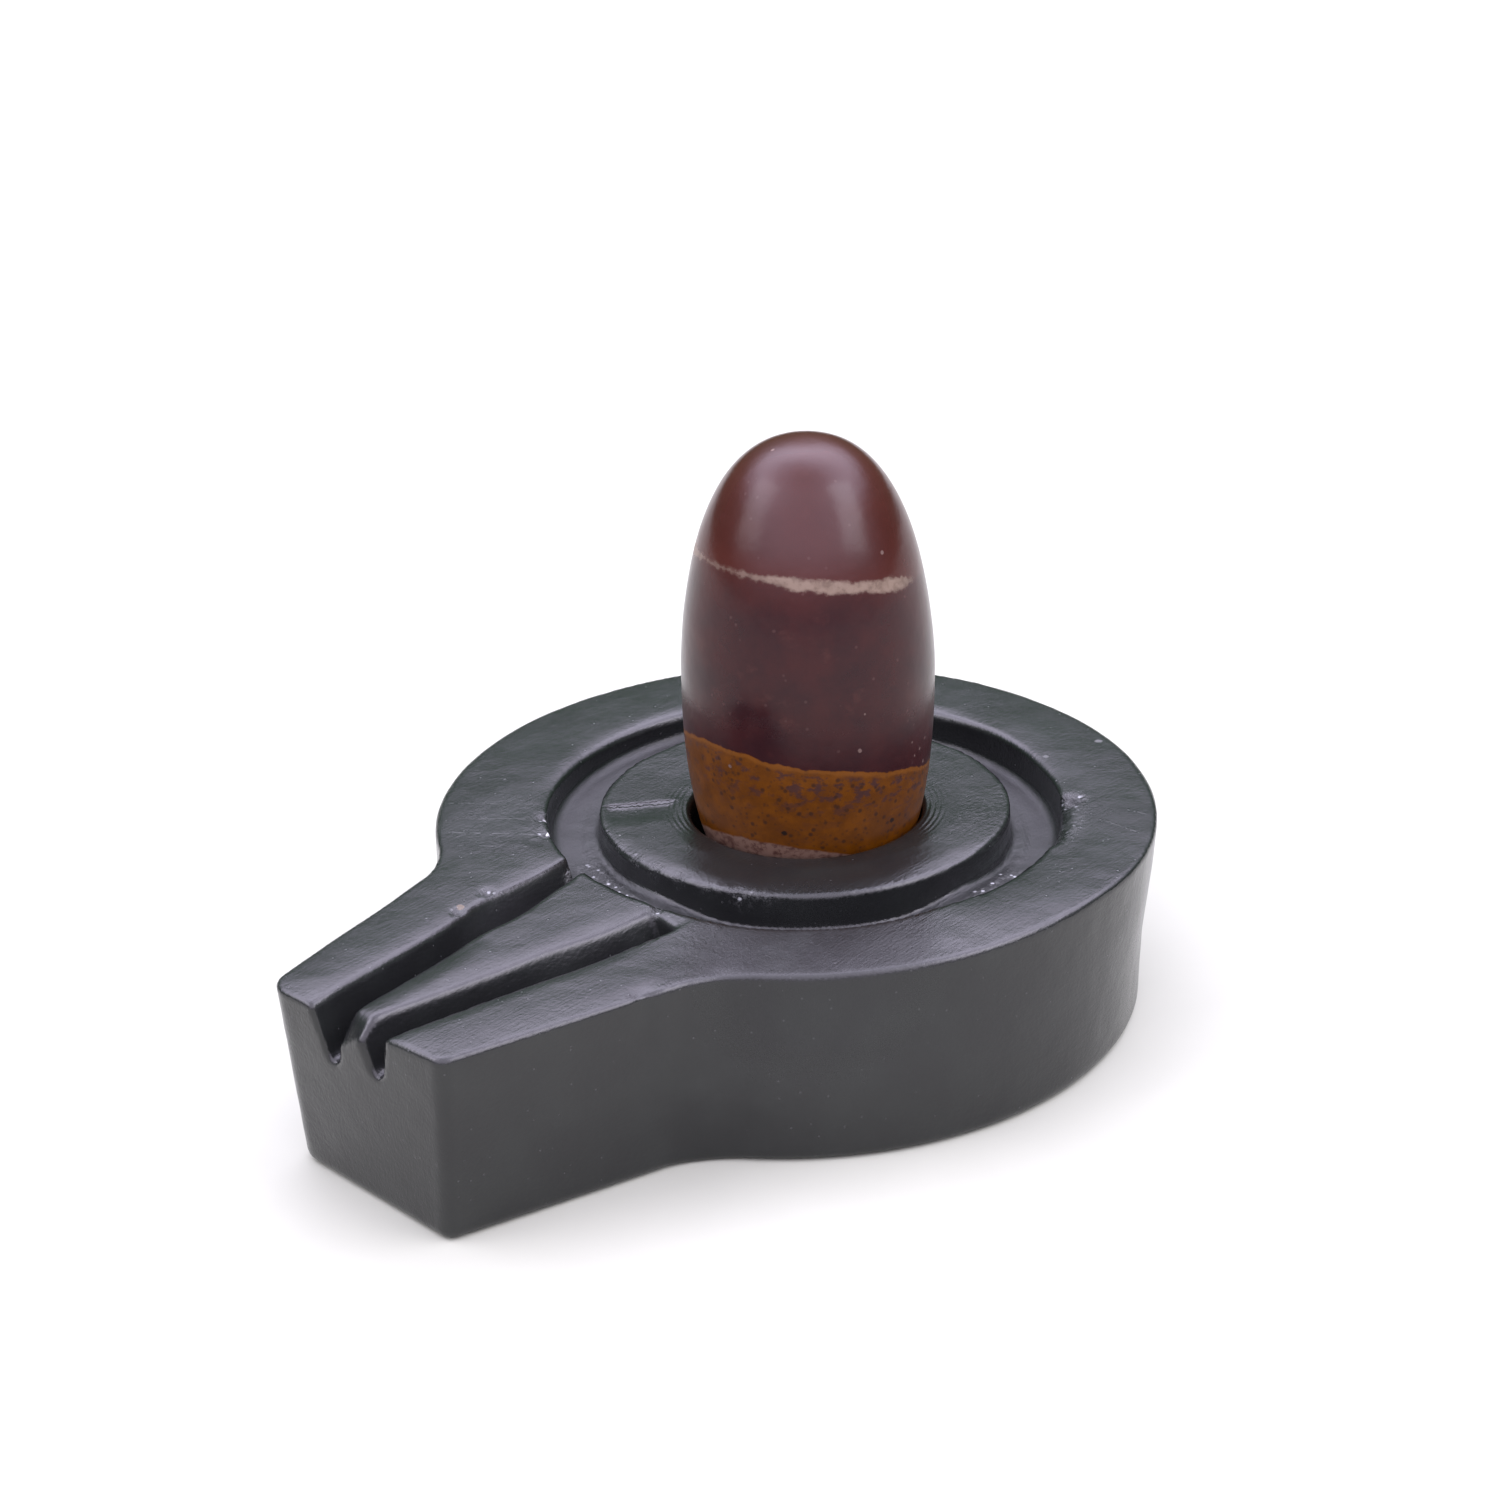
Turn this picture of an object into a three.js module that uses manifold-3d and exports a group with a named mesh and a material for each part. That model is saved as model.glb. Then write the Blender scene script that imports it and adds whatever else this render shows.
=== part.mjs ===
// A river-polished lingam stone that stands in the socket of a carved black stone yoni base.
// Millimetres, +Z up. The origin lies on the flat underside, below the centre of the round body,
// and the spout points along -X.
import * as THREE from "three";
import { mergeVertices } from "three/addons/utils/BufferGeometryUtils.js";
import Module from "manifold-3d";

// ---- Driving dimensions: the base ----
const BODY_RADIUS = 30;
const BASE_HEIGHT = 16.7;
const EDGE_ROUND = 0.7; // softened outer edges

// The walls lean in a little towards the underside, as a hand-cut block's do.
const FOOT_SCALE = 0.984;
const FOOT_SHIFT = { x: -0.5, y: 0.5 };
const SPOUT_TWIST = { start: -22, length: 26, x: 1.25, xPerY: 0.1, y: 0.8 };

// ---- Driving dimensions: the spout's outline on top ----
const NEAR_ROOT = { angle: -147, bend: [-26.0, -14.6], x: -28.5, y: -13.9 };
const NEAR_TIP = { x: -47.9, y: -8.8, round: 0.9 };
const FAR_ROOT = { angle: 145, bend: [-24.4, 15.6], x: -27.4, y: 14.2 };
const FAR_TIP = { x: -48.9, y: 9.6, round: 1.8 };

// ---- Driving dimensions: the ring channel round the inner disc ----
const RING_CENTRE = { x: 0.3, y: -0.7 };
const INNER_DISC_RADIUS = 17.0;
const CHANNEL_OUTER_RADIUS = 21.4;
const CHANNEL_DEPTH = 1.9;
const CHANNEL_FILLET = 0.3; // softens both rims and both floor corners

// ---- Driving dimensions: the two grooves along the spout ----
// Both end in a deep notch in the end face. The first opens into the ring channel, and the second
// starts just short of it, behind a thin ridge.
const GROOVES = [
  { start: [-19.4, 5.7], end: [-50.2, 2.7], width: 2.5, startDepth: 1.8, endDepth: 4.6 },
  { start: [-22.0, -6.2], end: [-50.2, -1.9], width: 2.0, startDepth: 2.0, endDepth: 4.0 },
];
const GROOVE_FLOOR_SHARE = 0.35; // floor width over top width

// ---- Driving dimensions: the lingam stone and its socket ----
const STONE_CENTRE = { x: 0.6, y: -0.9 };
const STONE_RADIUS = 10.4;
const STONE_WAIST_Z = 29.4; // height of the widest section
const STONE_TOP = { length: 19.1, bulge: 1.5, bluntness: 3.25 };
const STONE_FOOT = { length: 23.4, bulge: 2.6, bluntness: 2.25 };
const STONE_LEAN = { x: 0.004, y: -0.003 }; // sideways run per millimetre of height
const SOCKET = { x: 0.4, y: -0.8, radius: 10.2, rimRound: 0.35 };
const SEAT_Z = 5.9; // floor of the socket
const SEAT_GAP = 0.3;

// A shallow worn flat high on the crown. side is its heading about +Z and rise its angle above
// level, both in degrees and seen from the centre of the crown's own curve.
const CROWN_FLAT = { side: -136.7, rise: 42, spread: 17, depth: 0.45 };

const CUT_OVERSHOOT = 1.5; // how far a cutter stands out of what it cuts

// ---- Facets ----
const RIM_FACETS = { across: 3, around: 32 };
const CHANNEL_FACETS = 80;
const SOCKET_FACETS = 72;
const STONE_FACETS = { rows: 32, around: 56 };

const BLACK_STONE = { color: 0x242628, roughness: 0.42, metalness: 0 };
const BROWN_STONE = { color: 0x5b3a3c, roughness: 0.35, metalness: 0 };

const wasm = await Module();
wasm.setup();

// A closed mesh as a manifold-3d solid.
function toSolid(geometry) {
  const bare = geometry.clone();
  bare.deleteAttribute("normal");
  bare.deleteAttribute("uv");
  const merged = mergeVertices(bare, 1e-4);
  const vertProperties = new Float32Array(merged.attributes.position.array);
  const triVerts = new Uint32Array(merged.index.array);
  return new wasm.Manifold(new wasm.Mesh({ numProp: 3, vertProperties, triVerts }));
}

function toGeometry(solid) {
  const mesh = solid.getMesh();
  return new THREE.BufferGeometry()
    .setAttribute("position", new THREE.BufferAttribute(mesh.vertProperties, 3))
    .setIndex(new THREE.BufferAttribute(mesh.triVerts, 1));
}

// Moves every point of a geometry by a rule that gets and changes the point.
function reshape(geometry, rule) {
  const position = geometry.attributes.position;
  const point = new THREE.Vector3();
  for (let i = 0; i < position.count; i++) {
    point.fromBufferAttribute(position, i);
    rule(point);
    position.setXYZ(i, point.x, point.y, point.z);
  }
  return geometry;
}

// A lathe turns about +Y, so it is stood up on +Z afterwards.
function turned(profile, segments) {
  const points = profile.map(([radius, z]) => new THREE.Vector2(radius, z));
  return new THREE.LatheGeometry(points, segments).rotateX(Math.PI / 2);
}

function polar(radius, degrees) {
  const angle = THREE.MathUtils.degToRad(degrees);
  return [radius * Math.cos(angle), radius * Math.sin(angle)];
}

// ---- The base ----

// Round body with the spout on its -X side, counter-clockwise, with small round corners.
function baseOutline() {
  const outline = new THREE.Shape();
  const near = THREE.MathUtils.degToRad(NEAR_ROOT.angle);
  const far = THREE.MathUtils.degToRad(FAR_ROOT.angle);
  const nearWall = new THREE.Vector2(NEAR_TIP.x - NEAR_ROOT.x, NEAR_TIP.y - NEAR_ROOT.y);
  const farWall = new THREE.Vector2(FAR_TIP.x - FAR_ROOT.x, FAR_TIP.y - FAR_ROOT.y);
  const endFace = new THREE.Vector2(NEAR_TIP.x - FAR_TIP.x, NEAR_TIP.y - FAR_TIP.y);
  nearWall.setLength(NEAR_TIP.round);
  farWall.setLength(FAR_TIP.round);
  endFace.normalize();
  outline.absarc(0, 0, BODY_RADIUS, near, far, false);
  outline.quadraticCurveTo(...FAR_ROOT.bend, FAR_ROOT.x, FAR_ROOT.y);
  outline.lineTo(FAR_TIP.x - farWall.x, FAR_TIP.y - farWall.y);
  outline.quadraticCurveTo(
    FAR_TIP.x,
    FAR_TIP.y,
    FAR_TIP.x + endFace.x * FAR_TIP.round,
    FAR_TIP.y + endFace.y * FAR_TIP.round,
  );
  outline.lineTo(
    NEAR_TIP.x - endFace.x * NEAR_TIP.round,
    NEAR_TIP.y - endFace.y * NEAR_TIP.round,
  );
  outline.quadraticCurveTo(
    NEAR_TIP.x,
    NEAR_TIP.y,
    NEAR_TIP.x - nearWall.x,
    NEAR_TIP.y - nearWall.y,
  );
  outline.lineTo(NEAR_ROOT.x, NEAR_ROOT.y);
  outline.quadraticCurveTo(...NEAR_ROOT.bend, ...polar(BODY_RADIUS, NEAR_ROOT.angle));
  return outline;
}

// Scales, shifts and twists the lower sections, most at the underside.
function leanIn(point) {
  const low = 1 - point.z / BASE_HEIGHT;
  const along = THREE.MathUtils.clamp((SPOUT_TWIST.start - point.x) / SPOUT_TWIST.length, 0, 1);
  const scale = 1 - (1 - FOOT_SCALE) * low;
  const twistX = along * (SPOUT_TWIST.x + SPOUT_TWIST.xPerY * point.y);
  const twistY = along * SPOUT_TWIST.y;
  point.x = point.x * scale + low * (FOOT_SHIFT.x + twistX);
  point.y = point.y * scale + low * (FOOT_SHIFT.y + twistY);
}

function baseBlock() {
  const block = new THREE.ExtrudeGeometry(baseOutline(), {
    depth: BASE_HEIGHT - 2 * EDGE_ROUND,
    bevelThickness: EDGE_ROUND,
    bevelSize: EDGE_ROUND,
    bevelOffset: -EDGE_ROUND,
    bevelSegments: RIM_FACETS.across,
    curveSegments: RIM_FACETS.around,
  });
  block.translate(0, 0, EDGE_ROUND);
  return reshape(block, leanIn);
}

// The ring channel's cutter: a turned ring with a flat floor and softened rims.
function channelCutter() {
  const top = BASE_HEIGHT + CUT_OVERSHOOT;
  const floor = BASE_HEIGHT - CHANNEL_DEPTH;
  const soft = CHANNEL_FILLET;
  const ring = turned(
    [
      [INNER_DISC_RADIUS - soft, top],
      [INNER_DISC_RADIUS - soft, BASE_HEIGHT],
      [INNER_DISC_RADIUS, BASE_HEIGHT - soft],
      [INNER_DISC_RADIUS, floor + soft],
      [INNER_DISC_RADIUS + soft, floor],
      [CHANNEL_OUTER_RADIUS - soft, floor],
      [CHANNEL_OUTER_RADIUS, floor + soft],
      [CHANNEL_OUTER_RADIUS, BASE_HEIGHT - soft],
      [CHANNEL_OUTER_RADIUS + soft, BASE_HEIGHT],
      [CHANNEL_OUTER_RADIUS + soft, top],
      [INNER_DISC_RADIUS - soft, top],
    ],
    CHANNEL_FACETS,
  );
  return ring.translate(RING_CENTRE.x, RING_CENTRE.y, 0);
}

// A groove's cutter: a V with a narrow floor that grows deeper towards the end face.
function grooveCutter({ start, end, width, startDepth, endDepth }) {
  const length = Math.hypot(end[0] - start[0], end[1] - start[1]);
  const heading = Math.atan2(end[1] - start[1], end[0] - start[0]);
  const half = width / 2;
  const section = new THREE.Shape();
  section.moveTo(-half, CUT_OVERSHOOT);
  section.lineTo(-half, 0);
  section.lineTo(-half * GROOVE_FLOOR_SHARE, -1);
  section.lineTo(half * GROOVE_FLOOR_SHARE, -1);
  section.lineTo(half, 0);
  section.lineTo(half, CUT_OVERSHOOT);
  section.closePath();
  const cutter = new THREE.ExtrudeGeometry(section, { depth: length, bevelEnabled: false });
  cutter.rotateX(Math.PI / 2).rotateZ(Math.PI / 2);
  reshape(cutter, (point) => {
    const depth = THREE.MathUtils.lerp(startDepth, endDepth, point.x / length);
    point.z = BASE_HEIGHT + (point.z < 0 ? point.z * depth : point.z);
  });
  return cutter.rotateZ(heading).translate(start[0], start[1], 0);
}

// The blind socket with a softened rim.
function socketCutter() {
  const top = BASE_HEIGHT + CUT_OVERSHOOT;
  const mouth = SOCKET.radius + SOCKET.rimRound;
  const socket = turned(
    [
      [0, SEAT_Z],
      [SOCKET.radius, SEAT_Z],
      [SOCKET.radius, BASE_HEIGHT - SOCKET.rimRound],
      [mouth, BASE_HEIGHT],
      [mouth, top],
      [0, top],
    ],
    SOCKET_FACETS,
  );
  return socket.translate(SOCKET.x, SOCKET.y, 0);
}

function yoniBase() {
  let solid = toSolid(baseBlock());
  solid = solid.subtract(toSolid(channelCutter()));
  solid = solid.subtract(toSolid(socketCutter()));
  for (const groove of GROOVES) {
    solid = solid.subtract(toSolid(grooveCutter(groove)));
  }
  return toGeometry(solid);
}

// ---- The lingam stone ----

// Radius of the stone at a height: one blunt egg half above the waist and one below it.
function stoneRadius(z) {
  const half = z < STONE_WAIST_Z ? STONE_FOOT : STONE_TOP;
  const share = Math.abs(z - STONE_WAIST_Z) / half.length;
  return STONE_RADIUS * Math.pow(Math.max(0, 1 - share ** half.bulge), 1 / half.bluntness);
}

// Profile from the small flat spot underneath to the crown, with the rows closer at both ends.
function stoneProfile(rows) {
  const foot = SEAT_Z + SEAT_GAP;
  const crown = STONE_WAIST_Z + STONE_TOP.length;
  const profile = [[0, foot]];
  for (let row = 0; row < rows; row++) {
    const sweep = -Math.cos((Math.PI * row) / rows);
    const z = THREE.MathUtils.mapLinear(sweep, -1, 1, foot, crown);
    profile.push([stoneRadius(z), z]);
  }
  profile.push([0, crown]);
  return profile;
}

// Presses the shallow flat into the crown and leans the stone a little.
function weather(point) {
  const rise = THREE.MathUtils.degToRad(CROWN_FLAT.rise);
  const facing = new THREE.Vector3(...polar(Math.cos(rise), CROWN_FLAT.side), Math.sin(rise));
  const crownCentre = STONE_WAIST_Z + STONE_TOP.length - STONE_RADIUS;
  const outward = new THREE.Vector3(point.x, point.y, point.z - crownCentre);
  const angle = THREE.MathUtils.radToDeg(outward.angleTo(facing));
  const press = CROWN_FLAT.depth * Math.exp(-((angle / CROWN_FLAT.spread) ** 2));
  point.addScaledVector(facing, -press);
  point.x += STONE_LEAN.x * (point.z - SEAT_Z);
  point.y += STONE_LEAN.y * (point.z - SEAT_Z);
}

function lingamStone() {
  const whole = turned(stoneProfile(STONE_FACETS.rows), STONE_FACETS.around);
  const stone = reshape(whole, weather).translate(STONE_CENTRE.x, STONE_CENTRE.y, 0);
  return toGeometry(toSolid(stone));
}

// ---- The part ----

function piece(name, geometry, finish) {
  const mesh = new THREE.Mesh(geometry, new THREE.MeshStandardMaterial(finish));
  mesh.name = name;
  return mesh;
}

const part = new THREE.Group();
part.add(piece("yoni_base", yoniBase(), BLACK_STONE));
part.add(piece("lingam_stone", lingamStone(), BROWN_STONE));

export default part;
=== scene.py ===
"""A polished lingam stone that stands in its carved black stone base, on a pale floor.

Shapes are worked out in millimetres in the frame of the CAD model (+Z up, the spout along -X, the
origin under the centre of the round body) and become metres when a mesh is made. Directions round
the ring are angles in degrees from +X, counter-clockwise from above.
"""
import itertools
import math

import bmesh
import bpy
import numpy as np
from mathutils import Matrix, Quaternion, Vector


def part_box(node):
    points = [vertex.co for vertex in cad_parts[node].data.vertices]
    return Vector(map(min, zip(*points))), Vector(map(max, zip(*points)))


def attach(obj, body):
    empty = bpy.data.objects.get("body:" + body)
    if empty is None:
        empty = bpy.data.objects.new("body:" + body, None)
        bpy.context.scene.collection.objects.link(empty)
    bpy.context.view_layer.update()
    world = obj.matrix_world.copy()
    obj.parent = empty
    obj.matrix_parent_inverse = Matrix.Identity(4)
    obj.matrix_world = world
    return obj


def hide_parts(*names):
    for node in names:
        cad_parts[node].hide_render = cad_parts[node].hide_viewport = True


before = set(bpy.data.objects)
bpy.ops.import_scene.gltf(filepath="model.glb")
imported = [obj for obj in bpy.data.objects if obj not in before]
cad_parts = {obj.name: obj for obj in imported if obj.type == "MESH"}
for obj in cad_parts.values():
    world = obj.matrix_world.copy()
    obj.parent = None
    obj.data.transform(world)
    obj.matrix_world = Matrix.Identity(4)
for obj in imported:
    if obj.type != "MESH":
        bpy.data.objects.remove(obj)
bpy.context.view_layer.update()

MM = 0.001
BASE_NODE = "yoni_base"
STONE_NODE = "lingam_stone"

# ---- Driving dimensions: the base, in millimetres ----
BASE_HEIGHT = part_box(BASE_NODE)[1].z / MM
BODY_RADIUS = 30.0
EDGE_ROUND_FRONT, EDGE_ROUND_BACK = 0.35, 0.5
FOOT_EDGE_ROUND = 0.9
FOOT_SCALE = 0.984
FOOT_SHIFT = (-0.5, 0.5)
TWIST_START, TWIST_LENGTH = -22.0, 26.0
TWIST_X, TWIST_X_PER_Y, TWIST_Y = 1.25, 0.1, 0.8

NEAR_ROOT, NEAR_TIP, NEAR_TIP_ROUND = (-28.5, -13.9), (-47.9, -8.8), 0.9
FAR_ROOT, FAR_TIP, FAR_TIP_ROUND = (-27.4, 14.2), (-48.9, 9.6), 2.0
ROOT_FILLET = 2.4
SPOUT_ROOT_X = (-29, -20)  # where the spout's top turns into the ring's
SPOUT_INNER_END = -10  # the spout's solid ends here, inside the round body
SPOUT_EDGE_FALL, SPOUT_EDGE_WIDTH = 0.15, 4.0

FRONT = -136.7  # the side of the round body that the photo shows, in degrees
RING_CENTRE = (0.3, -0.7)
RING_FALL_START, RING_FALL = 20.5, 0.42  # the ring slopes down from here to its rim, by this much
FRONT_SLOPE, FRONT_SLOPE_WIDTH = 0.035, 9  # the ring's extra slope at the front
RIM_FRONT_CUT, RIM_CUT_HEIGHTS = 0.75, (4, 16)  # how much nearer the rim is to the centre there
# the ring's slope to the channel, at the near right
INNER_FALL, INNER_FALL_WIDTH, INNER_FALL_ANGLES = 0.26, 6.5, (-118, -5)
DISC_RADIUS, DISC_WALL_SLOPE = 17.1, 0.03  # slopes are the sideways run per millimetre of depth
DISC_FRONT_SHRINK = 0.55  # how much nearer the disc's edge is to the centre at the front
DISC_DROP_FRONT, DISC_DROP_BACK = 0.0, 0.35  # how far the inner disc lies below the outer ring
DISC_BEVEL, DISC_BEVEL_DEPTH = 1.7, 0.21
DISC_BEVEL_ANGLES = (150, 284)
CHANNEL_RADIUS, CHANNEL_WALL_SLOPE = 21.45, 0.12
CHANNEL_FRONT_WIDER, WIDER_ANGLES = 0.8, (-175, -100)
CHANNEL_DEPTH = 2.6
# where the channel is deeper or less deep: the angles, how softly they end, and the difference
CHANNEL_DEPTHS = ((-95, 45, 30, 0.5), (50, 160, 25, -0.3), (-182, -88, 25, 0.7))
CHANNEL_EDGE_ROUND, CHANNEL_EDGE_FRONT, DISC_EDGE_ROUND = 0.45, 0.15, 0.12
CHANNEL_OUTER_BOWL, CHANNEL_INNER_BOWL = 0.8, 0.5
BACK_LIP, BACK_LIP_DEPTH, BACK_LIP_ANGLES = 1.7, 0.2, (-10, 135)  # the ring's worn inner edge
LEDGE_ANGLES, LEDGE_WIDTH, LEDGE_DEPTH = (-71, -45), 1.0, 0.9

# start, end, width at the start, width, depth at the start and at the end, and how much wider
# it is at one place; lengths along a groove are from its start
FAR_GROOVE = ((-19.4, 6.0), (-50.2, 3.1), 2.5, 3.1, 2.5, 5.2, 1.0)
NEAR_GROOVE = ((-22.1, -6.2), (-50.2, -1.1), 3.4, 3.1, 3.0, 4.6, 0.5)
WIDER_PLACE, WIDER_LENGTH = 9.5, 3.2
GROOVE_FLOOR_SHARE = 0.32
GROOVE_ROUND, GROOVE_FLOOR_ROUND, GROOVE_START_ROUND = 0.3, 0.7, 0.4
# worn slopes beside the grooves: width, depth, and how far along the spout each begins
GROOVE_BEVEL, GROOVE_BEVEL_DEPTH, GROOVE_BEVEL_FROM = 2.1, 0.17, (19, 24)  # a groove's far side
TONGUE_SLOPE, TONGUE_SLOPE_DEPTH, TONGUE_SLOPE_FROM = 2.3, 0.38, (32, 37)  # far groove, near side
NEAR_SLOPE, NEAR_SLOPE_DEPTH, NEAR_SLOPE_FROM = 1.5, 0.2, (24, 29)  # near groove, near side
TONGUE_BREAK, TONGUE_BREAK_FROM = 2.0, (46.4, 48.3)  # the tongue's broken corner at the end face
TONGUE_TIP_X, TONGUE_TIP_FALL, TONGUE_TIP_LENGTH = -45.6, 0.9, 4
TONGUE_TIP_Y, TONGUE_TIP_WIDTH = 0.4, 2.6

SOCKET_CENTRE = (0.4, -0.8)
SOCKET_RADIUS, SOCKET_SLOPE, SOCKET_SLOPE_DEPTH = 9.8, 0.2, 4.0
SOCKET_LIP, SOCKET_FLOOR_ROUND = 0.4, 1.5
SOCKET_DISH, SOCKET_DISH_DEPTH, DISH_ROUND = 2.0, 0.2, 0.1  # the turned slope round the hole
DISH_SLANT = 0.98  # the distance to that slope is about this share of the height over it
SOCKET_AXIS = (*SOCKET_CENTRE, 0.0)
SEAT_Z = 5.9

# ---- Driving dimensions: the lingam stone, in millimetres ----
STONE_CENTRE = (0.6, -0.9)
STONE_RADIUS = 10.4
STONE_FOOT_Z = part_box(STONE_NODE)[0].z / MM
STONE_WAIST_Z = 29.4
STONE_TOP = (19.1, 1.5, 3.25)  # length, bulge, bluntness
STONE_BOTTOM = (23.4, 2.6, 2.25)
STONE_LEAN = (0.004, -0.003)  # sideways run per millimetre of height
STONE_WAVES = (7.0, 0.05, 11, 2)  # size across, height, number of the random draw, octaves
CROWN_HEIGHTS = (38, 48)  # the crown's own shape sets in between these heights
CROWN_TILT = 0.09  # how far the crown slopes towards the front
CROWN_PEAK, CROWN_PEAK_WIDTH, CROWN_DROP = 0.5, 4.0, 0.62  # raised in the middle, and lowered

# ---- Mesh fineness, in millimetres ----
BASE_STEP = 0.35
BASE_SPACE = ((-51, -32, -1), (32, 32, 18))  # the corners of the space that holds the base
STONE_ROWS, STONE_COLUMNS = 220, 256


# ---- Small tools ----

def smooth(value, low, high):
    """0 below low, 1 above high, and a smooth step between them."""
    t = np.clip((value - low) / (high - low), 0, 1)
    return t * t * (3 - 2 * t)


def bump(value, centre, width):
    """A smooth hump of height 1."""
    return np.exp(-(((value - centre) / width) ** 2))


def within(value, start, end):
    """1 between the two stretches start and end, 0 outside them, and a smooth step in each."""
    return smooth(value, *start) * (1 - smooth(value, *end))


def edge_slope(distance, width, most=1.0):
    """1 at an edge and 0 at the width from it, going on to most beyond the edge."""
    return np.clip(1 - distance / width, 0, most)


def noise(points, size, seed, octaves=1):
    """Smooth random values from about -1 to 1, with features about size across."""
    cells = 32
    total, weight, share = 0.0, 0.0, 1.0
    for octave in range(octaves):
        lattice = np.random.default_rng(seed + octave).uniform(-1, 1, (cells, cells, cells))
        scaled = points / (size / 2**octave)
        corner = np.floor(scaled).astype(int)
        t = scaled - corner
        t = t * t * (3 - 2 * t)
        value = 0.0
        for side in itertools.product((0, 1), repeat=3):
            x, y, z = ((corner + side) % cells).T
            value = value + np.where(side, t, 1 - t).prod(axis=1) * lattice[x, y, z]
        total = total + share * value
        weight += share
        share *= 0.5
    return total / weight * 1.6  # the blended values seldom get near 1 by themselves


def both(a, b, fillet):
    """The part inside both a and b, with the edge between them rounded."""
    corner = np.hypot(np.maximum(a + fillet, 0), np.maximum(b + fillet, 0))
    return np.minimum(np.maximum(a, b), -fillet) + corner


def either(a, b, fillet):
    """The part inside a or b, with the inner corner between them filled by a fillet."""
    corner = np.hypot(np.maximum(fillet - a, 0), np.maximum(fillet - b, 0))
    return np.maximum(np.minimum(a, b), fillet) - corner


def wall(x, y, start, end):
    """Distance to the line from start to end, positive on its left."""
    dx, dy = end[0] - start[0], end[1] - start[1]
    return (dx * (y - start[1]) - dy * (x - start[0])) / math.hypot(dx, dy)


def round_ring(p):
    """Each point's distance from the ring's centre, its angle, and how much it lies to the front."""
    x, y = p[:, 0] - RING_CENTRE[0], p[:, 1] - RING_CENTRE[1]
    angle = np.degrees(np.arctan2(y, x))
    return np.hypot(x, y), angle, np.cos(np.radians(angle - FRONT))


def forward_of(p):
    """How far each point lies towards the front."""
    return p[:, 0] * math.cos(math.radians(FRONT)) + p[:, 1] * math.sin(math.radians(FRONT))


def disc_edge(facing):
    """The inner disc's radius, which is smaller at the front."""
    return DISC_RADIUS - DISC_FRONT_SHRINK * smooth(facing, 0.1, 0.95)


def between(angle, low, high, soft=4.0):
    """1 for angles from low to high, in degrees, fading out over the last few."""
    middle, half = (low + high) / 2, (high - low) / 2
    off = np.abs((angle - middle + 180) % 360 - 180)
    return 1 - smooth(off, half - soft, half)


# ---- The base: distance-like functions that are negative inside ----

def on_top_outline(p):
    """Where each point would lie on the top outline if the walls didn't lean."""
    low = 1 - p[:, 2] / BASE_HEIGHT
    scale = 1 - (1 - FOOT_SCALE) * low
    x, y = p[:, 0], p[:, 1]
    for _ in range(3):
        along = np.clip((TWIST_START - x) / TWIST_LENGTH, 0, 1)
        twist_x = along * (TWIST_X + TWIST_X_PER_Y * y)
        x = (p[:, 0] - low * (FOOT_SHIFT[0] + twist_x)) / scale
        y = (p[:, 1] - low * (FOOT_SHIFT[1] + along * TWIST_Y)) / scale
    return x, y


def outline(p):
    """The round body and the spout, seen from above."""
    x, y = on_top_outline(p)
    facing = round_ring(p)[2]
    cut = RIM_FRONT_CUT * smooth(facing, 0.3, 0.9) * smooth(p[:, 2], *RIM_CUT_HEIGHTS)
    body = np.hypot(x, y) - BODY_RADIUS + cut
    far_side = wall(x, y, FAR_TIP, FAR_ROOT)
    near_side = wall(x, y, NEAR_ROOT, NEAR_TIP)
    end_face = wall(x, y, NEAR_TIP, FAR_TIP)
    spout = both(far_side, end_face, FAR_TIP_ROUND)
    spout = both(spout, near_side, NEAR_TIP_ROUND)
    spout = np.maximum(spout, x - SPOUT_INNER_END)
    return either(body, spout, ROOT_FILLET)


def ring_fall(p):
    """How far the ring's top falls towards its rim and towards the channel."""
    ring, angle, facing = round_ring(p)
    at_front = smooth(facing, 0.6, 0.95)
    strength = 0.75 - 0.3 * smooth(facing, -0.3, 0.3) + 0.55 * at_front
    outward = np.clip((ring - RING_FALL_START) / (BODY_RADIUS - RING_FALL_START), 0, 1.2)
    fall = RING_FALL * smooth(p[:, 0], *SPOUT_ROOT_X) * outward**2.1 * strength
    past_channel = ring - CHANNEL_RADIUS
    fall = fall + FRONT_SLOPE * np.clip(past_channel, 0, FRONT_SLOPE_WIDTH) * at_front
    inward = edge_slope(past_channel, INNER_FALL_WIDTH, 1.1) * (past_channel > -1)
    fall = fall + INNER_FALL * inward**2 * between(angle, *INNER_FALL_ANGLES, 25)
    worn = edge_slope(past_channel, BACK_LIP, 1.2) * (past_channel > -1)
    return fall + BACK_LIP_DEPTH * worn**2 * between(angle, *BACK_LIP_ANGLES, 20)


def disc_fall(p):
    """How far the inner disc's top lies below the ring's, with its bevel."""
    ring, angle, facing = round_ring(p)
    drop = DISC_DROP_BACK + (DISC_DROP_FRONT - DISC_DROP_BACK) * smooth(facing, -0.8, 0.6)
    fall = drop * (1 - smooth(ring, DISC_RADIUS, CHANNEL_RADIUS))
    bevel = edge_slope(disc_edge(facing) - ring, DISC_BEVEL, 1.2) * (ring < DISC_RADIUS + 1)
    return fall + DISC_BEVEL_DEPTH * bevel**1.5 * between(angle, *DISC_BEVEL_ANGLES, 12)


def near_side_slope(p, sizes, slope_width):
    """The worn slope along a groove's near side: 1 at the groove's edge."""
    start, end, _, width, *_ = sizes
    off = wall(p[:, 0], p[:, 1], start, end) - 0.5 * width
    return edge_slope(off, slope_width, 1.1) * (off > -0.5 * width)


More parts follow.
